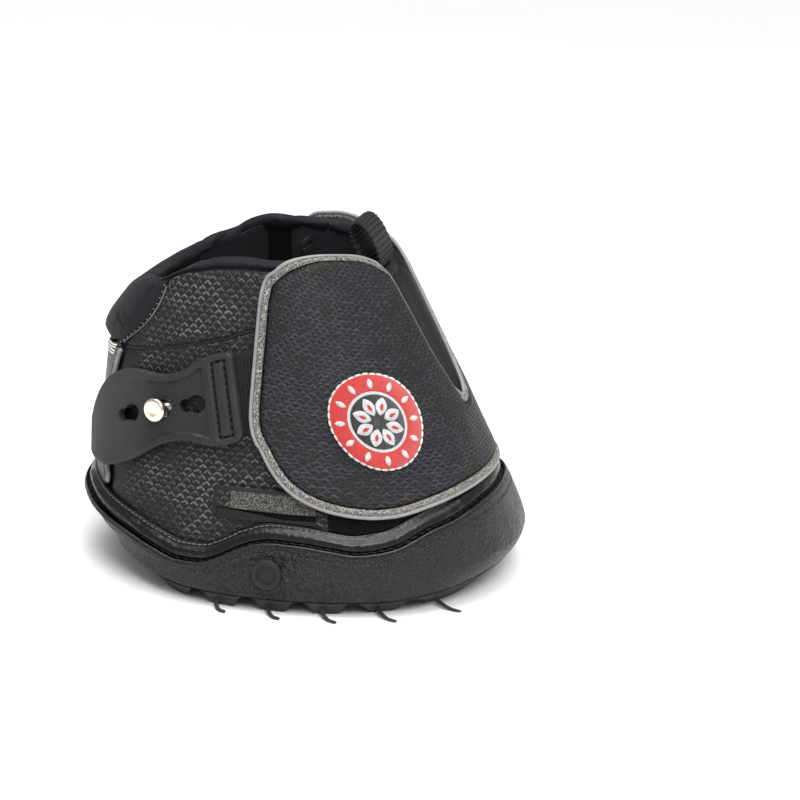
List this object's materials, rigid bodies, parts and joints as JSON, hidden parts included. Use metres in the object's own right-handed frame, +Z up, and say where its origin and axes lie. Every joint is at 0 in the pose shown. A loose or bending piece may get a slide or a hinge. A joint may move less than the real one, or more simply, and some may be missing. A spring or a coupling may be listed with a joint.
{
  "type": "hoof boot",
  "caption": "Horse hoof boot with a moulded rubber sole, padded collar, side-opening front flap, keyhole strap closure and a webbing pull loop.",
  "frame": {"origin": "centre of the bounding box at the ground under the tread", "axes": "+Z up, -Y towards the toe, -X towards the closure side"},
  "size_m": [0.1486, 0.1744, 0.1395],
  "materials": {
    "badge_cloth": "embroidered",
    "embossed_leather": "embossed, semi-matt",
    "foam": "matt foam",
    "grey_piping": "satin",
    "hook_and_loop": "matt",
    "neoprene": "matt",
    "reflective_tape": "satin",
    "sidewall_rubber": "satin",
    "stud_metal": "satin",
    "tab_rubber": "matt",
    "thread": "matt",
    "tread_rubber": "matt",
    "webbing": "matt"
  },
  "bodies": {
    "boot": {"sole_cup": "sidewall_rubber", "tread": "tread_rubber", "whisker_outer_1": "tread_rubber", "whisker_outer_2": "tread_rubber", "whisker_outer_3": "tread_rubber", "whisker_outer_4": "tread_rubber", "whisker_outer_5": "tread_rubber", "whisker_inner_1": "tread_rubber", "whisker_inner_2": "tread_rubber", "whisker_inner_3": "tread_rubber", "whisker_inner_4": "tread_rubber", "whisker_inner_5": "tread_rubber", "insole_pad": "foam", "welt_band": "sidewall_rubber", "sole_seam_thread": "thread", "neoprene_liner": "neoprene", "collar_roll": "neoprene", "outer_side_panel_lower": "embossed_leather", "outer_side_panel_upper": "embossed_leather", "inner_side_panel_lower": "embossed_leather", "inner_side_panel_upper": "embossed_leather", "vamp": "embossed_leather", "front_gusset": "neoprene", "heel_strip": "reflective_tape", "heel_pad": "neoprene", "heel_piping_outer": "grey_piping", "heel_piping_inner": "grey_piping", "heel_bartack_outer": "thread", "heel_bartack_inner": "thread", "overlay_strip": "reflective_tape", "hook_patch": "hook_and_loop", "shield_panel": "embossed_leather", "shield_padding": "neoprene", "shield_piping": "grey_piping", "closure_stud": "stud_metal", "stud_backplate": "stud_metal"},
    "flap": {"front_flap": "embossed_leather", "flap_lining": "neoprene", "flap_piping": "grey_piping", "badge_patch": "badge_cloth", "loop_patch": "hook_and_loop"},
    "strap": {"elastic_strap": "webbing"},
    "tab": {"closure_tab": "tab_rubber", "tab_stitching": "thread"},
    "loop": {"pull_loop": "webbing"}
  },
  "joints": [
    {"name": "flap_swing", "type": "hinge", "parent": "boot", "child": "flap", "pos_m": [0.05035, -0.02101, 0.085], "axis": [-0.2102, 0.2279, 0.9507], "range_deg": [0, 110], "deforming": ["elastic_strap", "closure_tab", "tab_stitching"]},
    {"name": "strap_peel", "type": "hinge", "parent": "flap", "child": "strap", "pos_m": [-0.05274, 0.00864, 0.07754], "axis": [0.2334, 0, 0.9724], "range_deg": [0, 100], "deforming": ["elastic_strap", "closure_tab", "tab_stitching"]},
    {"name": "tab_slide", "type": "slide", "parent": "strap", "child": "tab", "axis": [0.2282, 0.9437, -0.2397], "range_m": [-0.002, 0.006], "stiffness_N_per_m": 600, "deforming": ["elastic_strap", "closure_tab", "tab_stitching"]},
    {"name": "pull_loop_fold", "type": "hinge", "parent": "boot", "child": "loop", "pos_m": [0, -0.02678, 0.11879], "axis": [1, 0, 0], "range_deg": [-20, 68], "stiffness_Nm_per_rad": 0.01}
  ]
}
